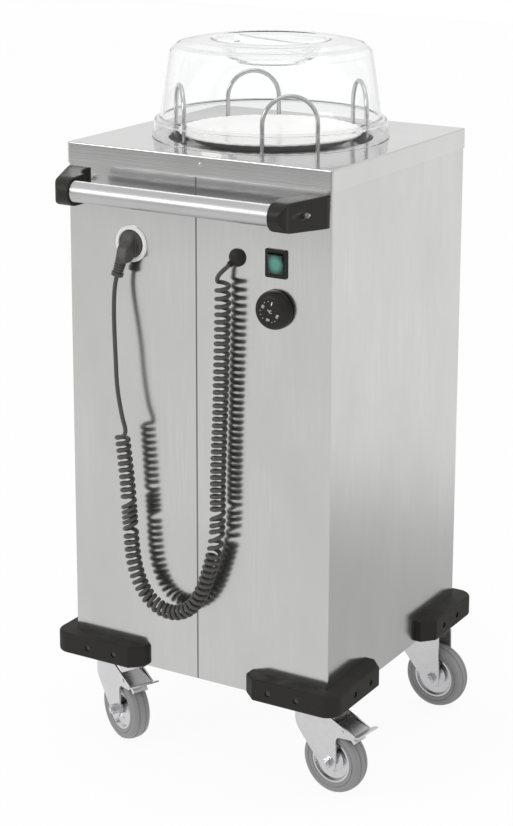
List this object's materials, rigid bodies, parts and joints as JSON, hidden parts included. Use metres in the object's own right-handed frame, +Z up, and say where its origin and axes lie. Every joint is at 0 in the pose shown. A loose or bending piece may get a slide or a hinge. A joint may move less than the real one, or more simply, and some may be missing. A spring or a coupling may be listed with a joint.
{
  "type": "plate dispenser cart",
  "caption": "Mobile heated plate dispenser: square steel cabinet on casters with a sprung plate well, clear dome, push handle and a curly lead parked on the front.",
  "frame": {"origin": "on the floor under the middle of the cabinet", "axes": "+Z up, -Y the front with the push handle and controls, +X to the right seen from the front"},
  "size_m": [0.5332, 0.519, 1.065],
  "materials": {
    "satin_steel": "satin, fine vertical grain",
    "polished_steel": "bright, mirror-like on top",
    "inner_steel": "satin",
    "bright_rod": "bright drawn rod",
    "spring_steel": "bright wound wire",
    "heater_metal": "dull, heat-darkened",
    "fastener": "bright",
    "dark_screw": "black-finished",
    "satin_aluminium": "satin anodised",
    "black_plastic": "fine matt grain",
    "bumper_rubber": "matt",
    "white_plastic": "gloss",
    "glide_plastic": "smooth",
    "plug_plastic": "semi-matt",
    "cable": "semi-matt",
    "green_lens": "lit green lens",
    "clear_plastic": "clear gloss",
    "porcelain": "white glazed",
    "zinc": "zinc plated",
    "grey_tyre": "grey, matt"
  },
  "bodies": {
    "cabinet": {"housing_left": "satin_steel", "housing_right": "satin_steel", "worktop": "polished_steel", "worktop_rivets": "fastener", "floor_pan": "satin_steel", "well_liner": "inner_steel", "guide_hoop_1": "bright_rod", "guide_hoop_2": "bright_rod", "guide_hoop_3": "bright_rod", "guide_hoop_4": "bright_rod", "heater_element": "heater_metal", "heater_guard": "inner_steel", "lift_springs": "spring_steel", "push_handle_tube": "satin_aluminium", "handle_bracket_left": "black_plastic", "handle_bracket_right": "black_plastic", "handle_screws": "fastener", "bumper_screws": "dark_screw", "parking_socket": "white_plastic", "plug": "plug_plastic", "plug_boot": "plug_plastic", "cable_gland": "black_plastic", "cord_tail": "cable", "cord_coil": "cable", "cord_lead": "cable", "switch_frame": "black_plastic", "thermostat_body": "black_plastic", "bumper_front_left": "bumper_rubber", "bumper_front_right": "bumper_rubber", "bumper_rear_right": "bumper_rubber", "bumper_rear_left": "bumper_rubber", "caster_plate_front_left": "zinc", "caster_plate_front_right": "zinc", "caster_plate_rear_right": "zinc", "caster_plate_rear_left": "zinc"},
    "platform": {"platform_disc": "inner_steel", "platform_carriage": "inner_steel", "glide_pads": "glide_plastic", "dinner_plate": "porcelain"},
    "dome": {"dome_cover": "clear_plastic"},
    "knob": {"thermostat_knob": "black_plastic"},
    "rocker": {"switch_rocker": "green_lens"},
    "swivel_front_left": {"caster_fork_front_left": "zinc", "caster_axle_front_left": "zinc"},
    "wheel_front_left": {"wheel_rim_front_left": "zinc", "tyre_front_left": "grey_tyre"},
    "pedal_front_left": {"brake_pedal_front_left": "zinc"},
    "swivel_front_right": {"caster_fork_front_right": "zinc", "caster_axle_front_right": "zinc"},
    "wheel_front_right": {"wheel_rim_front_right": "zinc", "tyre_front_right": "grey_tyre"},
    "pedal_front_right": {"brake_pedal_front_right": "zinc"},
    "swivel_rear_right": {"caster_fork_rear_right": "zinc", "caster_axle_rear_right": "zinc"},
    "wheel_rear_right": {"wheel_rim_rear_right": "zinc", "tyre_rear_right": "grey_tyre"},
    "swivel_rear_left": {"caster_fork_rear_left": "zinc", "caster_axle_rear_left": "zinc"},
    "wheel_rear_left": {"wheel_rim_rear_left": "zinc", "tyre_rear_left": "grey_tyre"}
  },
  "joints": [
    {"name": "platform_slide", "type": "slide", "parent": "cabinet", "child": "platform", "axis": [0, 0, 1], "range_m": [-0.48, 0], "stiffness_N_per_m": 490, "springref_m": 0.075, "deforming": ["lift_springs"]},
    {"name": "dome_lift", "type": "slide", "parent": "cabinet", "child": "dome", "axis": [0, 0, 1], "range_m": [0, 0.15]},
    {"name": "knob_turn", "type": "hinge", "parent": "cabinet", "child": "knob", "pos_m": [0.1307, -0.206, 0.7183], "axis": [0, 1, 0], "range_deg": [0, 270]},
    {"name": "rocker_tilt", "type": "hinge", "parent": "cabinet", "child": "rocker", "pos_m": [0.1314, -0.205, 0.7834], "axis": [1, 0, 0], "range_deg": [-14, 0]},
    {"name": "swivel_front_left", "type": "hinge", "parent": "cabinet", "child": "swivel_front_left", "pos_m": [-0.178, -0.166, 0.138], "axis": [0, 0, 1], "continuous": true},
    {"name": "wheel_spin_front_left", "type": "hinge", "parent": "swivel_front_left", "child": "wheel_front_left", "pos_m": [-0.14508, -0.18199, 0.05], "axis": [0.4368, 0.8996, 0], "continuous": true},
    {"name": "brake_front_left", "type": "hinge", "parent": "swivel_front_left", "child": "pedal_front_left", "pos_m": [-0.12223, -0.19308, 0.105], "axis": [0.4368, 0.8996, 0], "range_deg": [0, 10]},
    {"name": "swivel_front_right", "type": "hinge", "parent": "cabinet", "child": "swivel_front_right", "pos_m": [0.178, -0.166, 0.138], "axis": [0, 0, 1], "continuous": true},
    {"name": "wheel_spin_front_right", "type": "hinge", "parent": "swivel_front_right", "child": "wheel_front_right", "pos_m": [0.21426, -0.17097, 0.05], "axis": [0.1357, 0.9907, 0], "continuous": true},
    {"name": "brake_front_right", "type": "hinge", "parent": "swivel_front_right", "child": "pedal_front_right", "pos_m": [0.23943, -0.17441, 0.105], "axis": [0.1357, 0.9907, 0], "range_deg": [0, 10]},
    {"name": "swivel_rear_right", "type": "hinge", "parent": "cabinet", "child": "swivel_rear_right", "pos_m": [0.178, 0.166, 0.138], "axis": [0, 0, 1], "continuous": true},
    {"name": "wheel_spin_rear_right", "type": "hinge", "parent": "swivel_rear_right", "child": "wheel_rear_right", "pos_m": [0.2145, 0.16332, 0.05], "axis": [0.0732, 0.9973, 0], "continuous": true},
    {"name": "swivel_rear_left", "type": "hinge", "parent": "cabinet", "child": "swivel_rear_left", "pos_m": [-0.178, 0.166, 0.138], "axis": [0, 0, 1], "continuous": true},
    {"name": "wheel_spin_rear_left", "type": "hinge", "parent": "swivel_rear_left", "child": "wheel_rear_left", "pos_m": [-0.21032, 0.18318, 0.05], "axis": [-0.4695, -0.8829, 0], "continuous": true}
  ]
}
